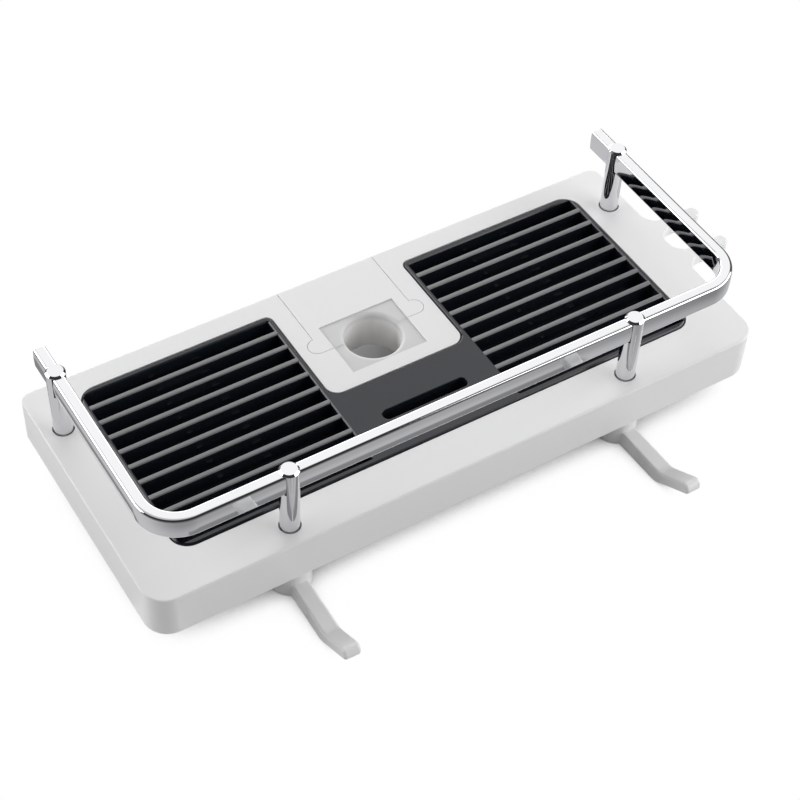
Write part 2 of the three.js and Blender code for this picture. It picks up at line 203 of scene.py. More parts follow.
def shade(piece):   # flats stay flat, rounds stay smooth
    work = bmesh.new()
    work.from_mesh(piece.data)
    bmesh.ops.triangulate(work, faces=[face for face in work.faces if len(face.verts) > 4])
    work.to_mesh(piece.data)
    work.free()
    piece.data.shade_smooth()
    piece.data.set_sharp_from_angle(angle=math.radians(shading["sharpAngle"]))
    weigh = piece.modifiers.new("weigh", "WEIGHTED_NORMAL")
    weigh.keep_sharp = True
    weigh.weight = shading["normalWeight"]
    return settle(piece)


def place(piece, material, body, slot, *nodes):
    piece.data.transform(Matrix.Scale(mm, 4))
    piece.data.materials.clear()
    piece.data.materials.append(material)
    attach(piece, body)
    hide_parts(*nodes)
    print("piece:", piece.name, len(piece.data.polygons), "faces")
    return piece


# node trees

class Wire:   # a socket that can stand in a Python expression
    def __init__(self, tree, socket=None):
        self.tree = tree
        self.socket = socket

    def add(self, kind, settings={}, sockets={}, out=0):
        node = self.tree.nodes.new(kind)
        for key, value in settings.items():
            setattr(node, key, value)
        for key, value in sockets.items():
            for one in value if isinstance(value, list) else [value]:
                if isinstance(one, Wire):
                    self.tree.links.new(one.socket, node.inputs[key])
                else:
                    node.inputs[key].default_value = one
        return Wire(self.tree, node.outputs[out] if len(node.outputs) else None)

    def maths(self, operation, first, second):
        return self.add("ShaderNodeMath", {"operation": operation}, {0: first, 1: second})

    def __add__(self, other):
        return self.maths("ADD", self, other)

    def __radd__(self, other):
        return self.maths("ADD", other, self)

    def __sub__(self, other):
        return self.maths("SUBTRACT", self, other)

    def __rsub__(self, other):
        return self.maths("SUBTRACT", other, self)

    def __mul__(self, other):
        return self.maths("MULTIPLY", self, other)

    def __rmul__(self, other):
        return self.maths("MULTIPLY", other, self)

    def __abs__(self):
        return self.maths("ABSOLUTE", self, 0.0)


def newMaterial(name):
    material = bpy.data.materials.new(name)
    material.use_nodes = True
    material.node_tree.nodes.clear()
    return material, Wire(material.node_tree)


def mixed(wire, share, first, second):   # colours: the node's sockets 6 and 7, and its output 2
    return wire.add("ShaderNodeMix", {"data_type": "RGBA"}, {0: share, 6: first, 7: second}, 2)


def eased(wire, value, low, high):   # 0 at low, 1 at high, and soft between them
    return wire.add("ShaderNodeMapRange", {"interpolation_type": "SMOOTHSTEP"}, {
        "Value": value, "From Min": low, "From Max": high})


def ownSpot(wire):   # the place on the piece, in its own space
    return wire.add("ShaderNodeTexCoord", out="Object")


def coordinate(wire, spot, axis):
    return wire.add("ShaderNodeSeparateXYZ", {}, {"Vector": spot}, axis)


def grain(wire, scale, detail, stretch=(1, 1, 1)):   # fine variation in the piece's own space
    spot = wire.add("ShaderNodeMapping", {}, {"Vector": ownSpot(wire), "Scale": stretch})
    return wire.add("ShaderNodeTexNoise", {}, {"Vector": spot, "Scale": scale, "Detail": detail}, "Fac")


# finishes, each with a cloudy change of colour and a fine grain

moulded = {"clouds": 9.0, "cloudDetail": 2.0, "grainDetail": 4.0, "stretch": (1, 1, 1), "bumpDepth": 0.1}
metal = {"clouds": 14.0, "cloudDetail": 2.0, "grainDetail": 3.0, "stretch": (1, 1, 1), "bumpDepth": 0.05}
finishes = {
    "white": {**moulded, "light": (0.865, 0.867, 0.870, 1), "dark": (0.84, 0.842, 0.845, 1),
              "roughness": 0.34, "spread": 0.10, "grain": 1600.0, "bump": 0.05},
    "black": {**moulded, "light": (0.011, 0.0145, 0.021, 1), "dark": (0.007, 0.0095, 0.014, 1),
              "roughness": 0.22, "spread": 0.08, "grain": 1400.0, "bump": 0.04},
    "pad": {**moulded, "light": (0.70, 0.702, 0.705, 1), "dark": (0.66, 0.662, 0.665, 1),
            "roughness": 0.46, "spread": 0.10, "grain": 900.0, "bump": 0.05},
    "bush": {**moulded, "light": (0.62, 0.59, 0.52, 1), "dark": (0.55, 0.52, 0.46, 1),
             "roughness": 0.45, "spread": 0.10, "grain": 1200.0, "bump": 0.05},
    "chrome": {**metal, "light": (0.80, 0.805, 0.82, 1), "dark": (0.77, 0.775, 0.79, 1),
               "roughness": 0.045, "spread": 0.03, "grain": 300.0, "bump": 0.01},
    "steel": {**metal, "light": (0.56, 0.56, 0.57, 1), "dark": (0.44, 0.44, 0.45, 1),
              "roughness": 0.36, "spread": 0.12, "grain": 700.0, "bump": 0.06, "stretch": (1, 1, 0.05)},
}
bands = {   # another colour from one height on: a painted highlight on the ribs' tops, and painted light down the pads' bore
    "crest": {"colour": (0.175, 0.177, 0.182, 1), "from": 21.9, "to": 22.4, "patchy": 0.3},
    "bore": {"colour": (0.94, 0.93, 0.915, 1), "from": 20.6, "to": 17.5},
}
silicone = {"Subsurface Weight": 0.6, "Subsurface Radius": (1, 1, 1), "Subsurface Scale": 0.004}


def makeFinish(name, look, extra={}, band=None):
    material, wire = newMaterial(name)
    cloudy = grain(wire, look["clouds"], look["cloudDetail"])
    fine = grain(wire, look["grain"], look["grainDetail"], look["stretch"])
    colour = mixed(wire, cloudy, look["dark"], look["light"])
    # the band paints light in from one height on: the ribs' highlight and the bore's lighter walls
    if band:
        share = eased(wire, coordinate(wire, ownSpot(wire), "Z"), band["from"] * mm, band["to"] * mm)
        if "patchy" in band:
            share = share * (1 - band["patchy"] / 2 + fine * band["patchy"])
        colour = mixed(wire, share, colour, band["colour"])
    bump = wire.add("ShaderNodeBump", {}, {
        "Strength": look["bump"], "Distance": look["bumpDepth"] * mm, "Height": fine}, "Normal")
    roughness = look["roughness"] + (fine - 0.5) * look["spread"]
    shader = wire.add("ShaderNodeBsdfPrincipled", {}, {
        "Base Color": colour, "Roughness": roughness, "Normal": bump, **extra})
    wire.add("ShaderNodeOutputMaterial", {}, {"Surface": shader})
    return material


whiteMoulded = makeFinish("whiteMoulded", finishes["white"])
blackMoulded = makeFinish("blackMoulded", finishes["black"], {"IOR": 1.56})
# the ribs' finish carries a painted highlight on their tops
ribPaintedHighlight = makeFinish("ribPaintedHighlight", finishes["black"], {"IOR": 1.7}, bands["crest"])
# the pads' finish carries painted light: lighter walls down the bore
softPad = makeFinish("softPad", finishes["pad"], silicone, bands["bore"])
chromePlate = makeFinish("chromePlate", finishes["chrome"], {"Metallic": 1.0})
plainSteel = makeFinish("plainSteel", finishes["steel"], {"Metallic": 1.0})
bushPlastic = makeFinish("bushPlastic", finishes["bush"])
print("finishes:", len(bpy.data.materials))


# tray

tray = {
    "half": 150.0, "front": -84.6, "back": 43.1, "top": 22.3, "wall": 2.6, "deckUnder": 19.5,
    "frontRadius": 11.0, "backRadius": 5.0, "edge": 0.8, "footEdge": 0.4, "hollowEdge": 1.0,
    "pocketGap": 0.5, "pocketLip": 0.2, "pocketFloor": 12.7, "pocketUnder": 10.7, "pocketWall": 2.0,
    "drainHalf": 10.2, "drainBorder": 2.8, "drainCorner": 1.5, "stiffener": 1.6, "stiffenerFoot": 3.0,
    "seamGap": 0.18, "seamLip": 0.3,
}
insert = {
    "half": 128.1, "front": -64.1, "back": 32.15, "top": 22.8, "bottom": 12.8, "corner": 8.0, "leg": 3.0,
    "notchHalf": 34.5, "notchFront": -23.3, "notchRadius": 6.5, "clearance": 0.1,
    "edgeWidth": 0.6, "edgeDrop": 0.5, "footEdge": 0.4, "floorTop": 14.8,
    "rim": 2.6, "frontRim": 2.8, "endRim": 2.0, "innerRim": 2.15, "panelCorner": 0.9, "panelLip": 0.55,
    "plate": 2.5, "plateBorder": 4.0, "slotHalf": 21.0, "slotWidth": 5.4, "slotY": -43.75,
    "slotCorner": 2.4, "slotLip": 0.4, "slotWall": 1.6,
}
insert["panelInner"] = insert["notchHalf"] + insert["innerRim"]
insert["panelOuter"] = insert["half"] - insert["endRim"]
insert["panelMiddle"] = (insert["panelInner"] + insert["panelOuter"]) / 2
insert["panelFront"] = insert["front"] + insert["frontRim"]
insert["panelBack"] = insert["back"] - insert["rim"]
clamp = {
    "half": 24.6, "front": 1.5, "earX": 25.0, "earY": 5.7, "earRadius": 4.2, "earFoot": 2.1, "earGap": 0.1,
    "shell": 2.6, "hollowGap": 0.3, "hollowCorner": 1.5, "housingHalf": 34.0, "housingFront": -22.8,
    "wellGap": 0.03, "wellLip": 0.35, "ledge": 2.0, "mouth": 14.2,
    "padHalf": 18.7, "padReach": 15.1, "padTop": 21.9, "padFoot": 2.1, "padParting": 1.35, "partingGap": 0.03,
    "bore": 13.0, "boreRim": 1.9,
}
prong = {
    "reach": 25.7, "middle": -16.65, "spacing": 22.0, "width": 6.5, "thickness": 6.0,
    "tip": 3.2, "root": 7.45,
}
posts = {
    "sideX": 140.6, "rearY": 17.45, "frontX": 83.5, "frontY": -74.45, "radius": 4.25, "edge": 0.85,
    "foot": 22.4, "top": 57.8, "sink": 4.0, "ring": 0.5, "hole": 2.3, "boss": 6.5, "rearBoss": 9.0,
    "gap": 0.05,
}
postSpots = [(side * posts["sideX"], posts["rearY"], False) for side in leftRight]
postSpots += [(side * posts["frontX"], posts["frontY"], True) for side in leftRight]


def trayLoop(rightEnd=()):   # rightEnd holds what stands out of the right end
    half, front, back = tray["half"], tray["front"], tray["back"]
    corners = [(-half, front, tray["frontRadius"]), (half, front, tray["frontRadius"]), *rightEnd,
               (half, back, tray["backRadius"]), (-half, back, tray["backRadius"])]
    return outline(corners, fineness["trayCorner"])


def prongCorners():
    root, reach = tray["half"], tray["half"] + prong["reach"]
    corners = []
    for side in leftRight:
        middle = prong["middle"] + side * prong["spacing"] / 2
        low, high = middle - prong["width"] / 2, middle + prong["width"] / 2
        corners += [(root, low, prong["root"]), (reach, low, prong["tip"]),
                    (reach, high, prong["tip"]), (root, high, prong["root"])]
    return corners


def insertLoop():
    half, front, back = insert["half"], insert["front"], insert["back"]
    inner, notch = insert["notchHalf"], insert["notchFront"]
    return outline([(-half, front, insert["corner"]), (half, front, insert["corner"]),
                    (half, back, insert["corner"]), (inner, back, insert["leg"]),
                    (inner, notch, insert["notchRadius"]), (-inner, notch, insert["notchRadius"]),
                    (-inner, back, insert["leg"]), (-half, back, insert["corner"])])


def clampLoop(back):   # the block with its two round ears
    half, radius, steps = clamp["half"], clamp["earRadius"], fineness["ear"]
    x, y = clamp["earX"], clamp["earY"]
    first, last = -math.pi / 2, math.acos((x - half) / -radius)
    turns = [first + (last - first) * step / steps for step in range(steps + 1)]
    right = [Vector((x + radius * math.cos(angle), y + radius * math.sin(angle))) for angle in turns]
    left = [Vector((-point.x, point.y)) for point in reversed(right)]
    return right + [Vector((half, back)), Vector((-half, back))] + left


def trayBlank(name):
    top, edge = tray["top"], tray["edge"]
    blank = loft(name, trayLoop(), softSides(0, top, tray["footEdge"], edge))
    deck = loft("deck", trayLoop(prongCorners()), softSides(top - prong["thickness"], top, edge, edge))
    return join(blank, deck)


def gripWell():   # the room for both pads, with the mouth under them
    gap, ledge, mouth = clamp["wellGap"], clamp["ledge"], clamp["mouth"]
    half, reach = clamp["padHalf"] + gap, clamp["padReach"] + gap
    room = rectangle(-half, -reach, half, reach)
    well = loft("well", room, lipSides(ledge, tray["top"], clamp["wellLip"]))
    return join(well, block(-mouth, -mouth, -over, mouth, mouth, ledge + lap))


def trayFill():   # under the deck: the pocket's walls, stiffeners, the clamp's housing and the posts' bosses
    inner = tray["wall"] / 2
    front, back, under = tray["front"] + inner, tray["back"] - inner, tray["deckUnder"] + lap
    pocket = grow(insertLoop(), tray["pocketGap"] + tray["pocketWall"])
    parts = [prism("pocket", pocket, tray["pocketUnder"], under)]
    half = tray["stiffener"] / 2
    for x in (-insert["panelOuter"], -insert["panelInner"], insert["panelInner"], insert["panelOuter"]):
        parts.append(block(x - half, front, tray["stiffenerFoot"], x + half, back, tray["pocketUnder"] + lap))
    parts.append(block(-clamp["housingHalf"], clamp["housingFront"], 0, clamp["housingHalf"], back, under))
    for x, y, atFront in postSpots:
        boss = rod(posts["boss"], 0 if atFront else posts["rearBoss"], under, x, y)
        inside = prism("inside", grow(trayLoop(), -inner), -over, tray["top"] - lap)
        parts.append(combine(boss, "INTERSECT", [inside]))
    return parts


def trayCuts():   # the pocket, its drain windows, the clamp's bay, the well for the pads and the posts' holes
    top, gap, back = tray["top"], tray["seamGap"], tray["back"] + over
    pocket = lipSides(tray["pocketFloor"], top, tray["pocketLip"])
    cuts = [loft("pocket", grow(insertLoop(), tray["pocketGap"]), pocket)]
    for side in leftRight:
        x, half, border = side * insert["panelMiddle"], tray["drainHalf"], tray["drainBorder"]
        window = rectangle(x - half, insert["panelFront"] + border, x + half, insert["panelBack"] - border,
                           tray["drainCorner"], fineness["smallCorner"])
        cuts.append(prism("drain", window, tray["pocketUnder"] - over, tray["pocketFloor"] + over))
    bay = lipSides(clamp["earFoot"] - clamp["earGap"], top, tray["seamLip"])
    cuts.append(loft("bay", grow(clampLoop(back), gap), bay))
    half = clamp["half"] + gap
    cuts.append(block(-half, clamp["front"] - gap, -over, half, back, clamp["earFoot"] + lap))
    cuts.append(gripWell())
    for x, y, atFront in postSpots:
        ring = posts["radius"] + posts["ring"]
        cuts.append(rod(posts["hole"], -over, top + over, x, y, fineness["hole"]))
        cuts.append(rod(ring, posts["foot"] - posts["sink"], top + over, x, y, fineness["post"]))
    return cuts


def makeTray():
    body = trayBlank("trayShell")
    hollow = softSides(-over, tray["deckUnder"], 0, tray["hollowEdge"])
    cut(body, loft("hollow", grow(trayLoop(), -tray["wall"]), hollow))
    join(body, *trayFill())
    return shade(cut(body, *trayCuts()))


place(makeTray(), whiteMoulded, "tray", "white_plastic", "tray_shell")


# clamp block and grip pads

def makeClampBlock():
    back, foot = tray["back"], clamp["earFoot"]
    body = loft("clampBlock", clampLoop(back + over), softSides(0, tray["top"], 0, tray["seamLip"]))
    half, under = clamp["half"], clamp["earX"] + clamp["earRadius"] + over
    cut(body, block(half, 0, -over, under, back, foot), block(-under, 0, -over, -half, back, foot))
    combine(body, "INTERSECT", [trayBlank("blank")])
    shell = clamp["shell"]
    room = rectangle(shell - half, clamp["padReach"] + clamp["hollowGap"] + shell, half - shell, back - shell,
                     clamp["hollowCorner"], fineness["smallCorner"])
    return shade(cut(body, gripWell(), prism("hollow", room, -over, tray["deckUnder"])))


def makeGripPad(name, front, back):
    half, bore, rim = clamp["padHalf"], clamp["bore"], clamp["boreRim"]
    foot, top = clamp["padFoot"], clamp["padTop"]
    pad = prism(name, rectangle(-half, front, half, back), foot, top)
    flare = [(bore + out, top - rim + rise) for out, rise in quarter(rim, fineness["corner"])]
    profile = [(0, foot - over), (bore, foot - over), *flare, (bore + rim, top + over), (0, top + over)]
    return shade(cut(pad, turned("bore", profile, fineness["bore"])))


place(makeClampBlock(), whiteMoulded, "clamp", "white_plastic", "clamp_block")
frontPad = makeGripPad("frontGripPad", -clamp["padReach"], clamp["padParting"] - clamp["partingGap"])
rearPad = makeGripPad("rearGripPad", clamp["padParting"] + clamp["partingGap"], clamp["padReach"])
place(frontPad, softPad, "tray", "grip_pad", "front_grip_pad")
place(rearPad, softPad, "clamp", "grip_pad", "rear_grip_pad")


# drain insert, with its ribs and drain slots from a node tree

def makeDrainInsert():
    low, high, floor, foot = insert["bottom"], insert["top"], insert["floorTop"], insert["footEdge"]
    sides = [(-foot, low), (0, low + foot), (0, high - insert["edgeDrop"]), (-insert["edgeWidth"], high)]
    body = loft("drainInsert", grow(insertLoop(), -insert["clearance"]), sides)
    cuts = []
    for side in leftRight:
        left, right = sorted((side * insert["panelInner"], side * insert["panelOuter"]))
        panel = rectangle(left, insert["panelFront"], right, insert["panelBack"],
                          insert["panelCorner"], fineness["smallCorner"])
        cuts.append(loft("panel", panel, lipSides(floor, high, insert["panelLip"], 1)))
    half, y, width = insert["slotHalf"], insert["slotY"], insert["slotWidth"] / 2
    slot = rectangle(-half, y - width, half, y + width, insert["slotCorner"])
    border = insert["plateBorder"]
    reach, front, back = insert["notchHalf"] - border, insert["front"] + border, insert["notchFront"] - border
    hollow = block(-reach, front, low - over, reach, back, high - insert["plate"])
    cuts.append(cut(hollow, prism("sleeve", grow(slot, insert["slotWall"]), low - 2 * over, high)))
    cuts.append(loft("slot", slot, lipSides(floor, high, insert["slotLip"])))
    return cut(body, *cuts)


ribs = {
    "count": 9, "pitch": 9.295, "first": 21.655, "width": 2.35, "corner": 0.6, "sink": 0.5,
    "bottom": 14.0, "top": insert["top"],
}
ribs["length"] = insert["panelOuter"] - insert["panelInner"] + 2 * ribs["sink"]
drainSlots = {
    "count": ribs["count"] + 1, "pitch": ribs["pitch"], "first": 26.3, "width": 2.4, "corner": 0.3,
    "length": 26.0, "bottom": insert["bottom"] - over, "top": insert["floorTop"] + over,
}


def newTree(name, sizes):   # a tree with a named input for each size
    tree = bpy.data.node_groups.new(name, "GeometryNodeTree")
    tree.interface.new_socket("Geometry", in_out="INPUT", socket_type="NodeSocketGeometry")
    tree.interface.new_socket("Geometry", in_out="OUTPUT", socket_type="NodeSocketGeometry")
    kinds = {int: "NodeSocketInt", float: "NodeSocketFloat"}
    for key, value in sizes.items():
        tree.interface.new_socket(key, in_out="INPUT", socket_type=kinds.get(type(value), "NodeSocketObject"))
    start = tree.nodes.new("NodeGroupInput")
    return tree, Wire(tree), {key: Wire(tree, start.outputs[key]) for key in sizes}


def closeTree(wire, geometry, material):
    geometry = wire.add("GeometryNodeRealizeInstances", {}, {"Geometry": geometry})
    geometry = wire.add("GeometryNodeSetMaterial", {}, {"Geometry": geometry, "Material": material})
    wire.add("NodeGroupOutput", {}, {"Geometry": geometry})


def grownBy(name, tree, sizes):   # runs a tree, and keeps its result as plain mesh
    piece = bpy.data.objects.new(name, bpy.data.meshes.new(name + "Seed"))
    bpy.context.scene.collection.objects.link(piece)
    step = piece.modifiers.new("grow", "NODES")
    step.node_group = tree
    for item in tree.interface.items_tree:
        if item.in_out == "INPUT" and item.name in sizes:
            step[item.identifier] = sizes[item.name]
    return settle(piece)


def vector(wire, x=0.0, y=0.0, z=0.0):
    return wire.add("ShaderNodeCombineXYZ", {}, {"X": x, "Y": y, "Z": z})


def rowTree(name, sizes, material):   # straight bars in rows, over both panels
    tree, wire, size = newTree(name, sizes)
    half = size["length"] * 0.5
    section = wire.add("GeometryNodeCurvePrimitiveQuadrilateral", {}, {
        "Width": size["width"], "Height": size["height"]})
    section = wire.add("GeometryNodeFilletCurve", {"mode": "POLY"}, {
        "Curve": section, "Radius": size["corner"], "Count": fineness["rib"]})
    line = wire.add("GeometryNodeCurvePrimitiveLine", {}, {
        "Start": vector(wire, 0.0 - half), "End": vector(wire, half)})
    line = wire.add("GeometryNodeSetCurveNormal", {"mode": "Z_UP"}, {"Curve": line})
    bar = wire.add("GeometryNodeCurveToMesh", {}, {
        "Curve": line, "Profile Curve": section, "Fill Caps": True})
    rows = wire.add("GeometryNodeMeshLine", {}, {
        "Count": size["count"], "Start Location": vector(wire, 0.0, size["first"], size["middle"]),
        "Offset": vector(wire, 0.0, 0.0 - size["pitch"])})
    rows = wire.add("GeometryNodeInstanceOnPoints", {}, {"Points": rows, "Instance": bar})
    panels = [wire.add("GeometryNodeTransform", {}, {
        "Geometry": rows, "Translation": vector(wire, side * size["panelMiddle"])}) for side in leftRight]
    both = wire.add("GeometryNodeJoinGeometry", {}, {"Geometry": panels})
    closeTree(wire, both, material)
    return tree


def makeRows(name, row, material):
    sizes = {key: row[key] for key in ("count", "pitch", "first", "width", "corner", "length")}
    sizes["height"] = row["top"] - row["bottom"]
    sizes["middle"] = (row["top"] + row["bottom"]) / 2
    sizes["panelMiddle"] = insert["panelMiddle"]
    rows = grownBy(name, rowTree(name, sizes, material), sizes)
    print("rows:", name, [round(size, 2) for size in rows.dimensions], len(rows.data.polygons), "faces")
    return rows


drainInsert = makeDrainInsert()
ribRows = makeRows("ribRows", ribs, ribPaintedHighlight)
cut(drainInsert, makeRows("slotRows", drainSlots, blackMoulded))
place(shade(drainInsert), blackMoulded, "grille", "black_plastic", "drain_grille")
place(shade(ribRows), ribPaintedHighlight, "grille", "black_plastic", "drain_grille")


# guard rail on its posts

rail = {
    "bottom": 45.8, "top": 56.8, "thick": 6.0, "edge": 1.4, "bow": 0.30, "bowRadius": 44.0, "corner": 16.0,
    "back": 33.9, "endEdge": 0.45, "endShare": 0.3, "bite": 7.8,
}


def railLine():   # from the left end to the right: middle spot, outward direction, growth of the section
    x, front, back, bend = posts["sideX"], posts["frontY"], rail["back"], rail["corner"]
    edge, part, steps = rail["endEdge"], rail["endEdge"] * rail["endShare"], fineness["railBend"]
    line = []
    for side in leftRight:
        ends = ((0, -edge), (part, -part), (edge, 0))
        half = [(Vector((side * x, back - gone)), Vector((side, 0)), growth) for gone, growth in ends]
        for step in range(steps + 1):
            angle = math.pi / 2 * step / steps
            outward = Vector((side * math.cos(angle), -math.sin(angle)))
            spot = Vector((side * (x - bend), front + bend)) + outward * bend
            half.append((spot, outward, 0))
        line += half if side < 0 else reversed(half)
    return line


def makeRail():
    half, high, edge = rail["thick"] / 2, (rail["top"] - rail["bottom"]) / 2, rail["edge"]
    side, bow = half - rail["bow"], rail["bowRadius"]
    section = outline([(-side, -high, edge), (side, -high, edge), (half, 0, bow),
                       (side, high, edge), (-side, high, edge), (-half, 0, bow)], fineness["railEdge"])
    middle = (rail["top"] + rail["bottom"]) / 2
    work = bmesh.new()
    rings = []
    for spot, outward, growth in railLine():
        ring = [(spot + outward * point.x, point.y + middle) for point in grow(section, growth)]
        rings.append([work.verts.new((at.x, at.y, height)) for at, height in ring])
    skin(work, rings[::-1])
    bmesh.ops.recalc_face_normals(work, faces=work.faces)
    low, high = rail["bottom"] - over, rail["bottom"] + rail["bite"]
    holes = [rod(posts["hole"], low, high, x, y, fineness["hole"]) for x, y, atFront in postSpots]
    return shade(cut(toPiece("guardRail", work), *holes))


def makePost(name, x, y, alongX):
    radius, edge, gap = posts["radius"], posts["edge"], posts["gap"]
    foot, top = posts["foot"] - posts["sink"], posts["top"]
    profile = [(0, foot), (radius, foot), (radius, top - edge), (radius - edge, top), (0, top)]
    post = turned(name, profile, fineness["post"], x, y)
    side, far = rail["thick"] / 2 + gap, radius + over
    wide, deep = (far, side) if alongX else (side, far)
    window = block(x - wide, y - deep, rail["bottom"] - gap, x + wide, y + deep, rail["top"] + gap)
    return shade(cut(post, window, rod(posts["hole"], foot - over, rail["bottom"], x, y, fineness["hole"])))


place(makeRail(), chromePlate, "tray", "chrome", "guard_rail")
postNodes = ("post_rear_left", "post_rear_right", "post_front_left", "post_front_right")
for node, (x, y, atFront) in zip(postNodes, postSpots):
    words = node.split("_")
    name = words[0] + words[1].title() + words[2].title()
    place(makePost(name, x, y, atFront), chromePlate, "tray", "chrome", node)


# hooks

hook = {
    "drop": 14.5, "hub": 9.1, "hubTop": -0.3, "hubEdge": 1.0, "hubTaper": 0.3, "width": 7.9, "thick": 7.6,
    "run": 33.6, "bend": 9.0, "edge": 1.35, "splay": math.radians(1.5),
    "tipThick": 5.6, "tipLength": 24.4, "tipAngle": math.radians(30.5), "tipRadius": 2.3,
    "counterbore": 5.4, "counterboreDepth": 4.6, "bore": 3.6,
}
upright = Matrix(((0, 0, 1, 0), (1, 0, 0, 0), (0, 1, 0, 0), (0, 0, 0, 1)))   # x, y become y, z


def makeHook(name, x, y, turn):
    low, top, slope = -hook["drop"], hook["thick"] - hook["drop"], hook["tipAngle"]
    along = Vector((-math.cos(slope), math.sin(slope))) * hook["tipLength"]
    tip = Vector((-hook["run"], low)) + along
    upper = tip + Vector((math.sin(slope), math.cos(slope))) * hook["tipThick"]
    bend = upper.x + (upper.y - top) / math.tan(slope)
    side = outline([(0, low, 0), (0, top, 0), (bend, top, hook["bend"]), (*upper, hook["tipRadius"]),
                    (*tip, hook["tipRadius"]), (-hook["run"], low, hook["bend"])])
    half, edge, radius = hook["width"] / 2, hook["hubEdge"], hook["hub"]
    arm = loft(name, side, softSides(-half, half, hook["edge"], hook["edge"]))
    arm.data.transform(upright)
    foot = [(radius - inset, low + edge - rise) for inset, rise in reversed(quarter(edge))]
    profile = [(0, low), *foot, (radius - hook["hubTaper"], hook["hubTop"]), (0, hook["hubTop"])]
    join(arm, turned("hub", profile, fineness["post"]))
    counterbore = rod(hook["counterbore"], low - over, low + hook["counterboreDepth"])
    cut(arm, counterbore, rod(hook["bore"], low - over, over))
    arm.data.transform(Matrix.Translation((x, y, 0)) @ Matrix.Rotation(turn, 4, "Z"))
    return shade(arm)


for side, word in zip(leftRight, ("left", "right")):
    piece = makeHook("hook" + word.title(), side * posts["frontX"], posts["frontY"], side * hook["splay"])
    place(piece, whiteMoulded, word + "_hook", "white_plastic", "hook_" + word)


# screws and washers, in pairs from a node tree

fixings = {
    "shank": 2.0, "point": 0.8, "head": 3.8, "headHeight": 2.4, "washer": 4.5, "washerEdge": 0.2,
    "dome": ((0.62, 0.0), (0.84, 0.3), (0.96, 0.8), (1.0, 1.4)),   # share of the head's radius, and rise
    "crossLength": 4.4, "crossWidth": 1.0, "crossDepth": 1.4,
}


def pairTree(name, sizes, material):   # the same part left and right
    tree, wire, size = newTree(name, sizes)
    part = wire.add("GeometryNodeObjectInfo", {}, {"Object": size["part"]}, "Geometry")
    spots = wire.add("GeometryNodeMeshLine", {}, {
        "Count": 2, "Start Location": vector(wire, 0.0 - size["spread"], size["depth"], size["height"]),
        "Offset": vector(wire, 2.0 * size["spread"])})
    both = wire.add("GeometryNodeInstanceOnPoints", {}, {"Points": spots, "Instance": part})
    closeTree(wire, both, material)
    return tree


def makeScrew(length):   # pan head downwards, with a cross in it, and a plain shank
    radius, head, foot, point = fixings["shank"], fixings["head"], -fixings["headHeight"], fixings["point"]
    dome = [(share * head, foot + rise) for share, rise in fixings["dome"]]
    shank = [(radius, 0), (radius, length - point), (radius - point, length), (0, length)]
    screw = turned("screw", [(0, foot), *dome, (head, 0), *shank], fineness["screw"])
    long, wide = fixings["crossLength"] / 2, fixings["crossWidth"] / 2
    low, high = foot - over, foot + fixings["crossDepth"]
    return cut(screw, block(-long, -wide, low, long, wide, high), block(-wide, -long, low, wide, long, high))


def makeWasher(thick):
    edge = fixings["washerEdge"]
    rim = circle(fixings["washer"], steps=fineness["washer"])
    disc = loft("washer", rim, softSides(0, thick, edge, edge))
    return cut(disc, rod(posts["hole"], -over, thick + over, steps=fineness["screw"]))


def placePair(name, kind, part, spot, height):
    sizes = {"part": part, "spread": spot.x, "depth": spot.y, "height": height}
    pair = grownBy(name, pairTree(name, sizes, plainSteel), sizes)
    bpy.data.objects.remove(part)
    place(shade(pair), plainSteel, "tray", "steel", kind + "_left", kind + "_right")


for word, kind in (("rearPost", "rear_post"), ("hook", "hook")):
    low, high = (Vector(corner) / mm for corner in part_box(kind + "_screw_right"))
    spot = (low + high) / 2
    seat = low.z + fixings["headHeight"]
    placePair(word + "Screws", kind + "_screw", makeScrew(high.z - seat), spot, seat)
    low, high = (Vector(corner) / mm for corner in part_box(kind + "_washer_right"))
    placePair(word + "Washers", kind + "_washer", makeWasher(high.z - low.z), spot, low.z)


# the bushes keep the CAD's shape, with a finish of their own

for name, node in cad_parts.items():
    if not node.hide_render:
        node.data.materials.clear()
        node.data.materials.append(bushPlastic)
        print("kept from the CAD:", name)


# camera, floor and light

camera = {   # metres, degrees, and millimetres for the lens
    "position": (-0.3094, -0.48875, 0.6284), "azimuth": -33.67, "elevation": 48.28, "roll": 3.0,
    "lens": 85.39, "sensor": 36.0,
}


def makeCamera():
    around, above, roll = (math.radians(camera[key]) for key in ("azimuth", "elevation", "roll"))
    back = Vector((math.sin(around) * math.cos(above), -math.cos(around) * math.cos(above), math.sin(above)))
    right = (-back).cross(Vector((0, 0, 1))).normalized()
    up = right.cross(-back)
    across = right * math.cos(roll) + up * math.sin(roll)
    upward = up * math.cos(roll) - right * math.sin(roll)
    data = bpy.data.cameras.new("camera")
    data.lens = camera["lens"]
    data.sensor_width = camera["sensor"]
    eye = bpy.data.objects.new("camera", data)
    eye.matrix_world = Matrix((across, upward, back)).transposed().to_4x4()
    eye.location = camera["position"]
    bpy.context.scene.collection.objects.link(eye)
    bpy.context.scene.camera = eye
    print("camera:", camera["lens"], "mm lens")


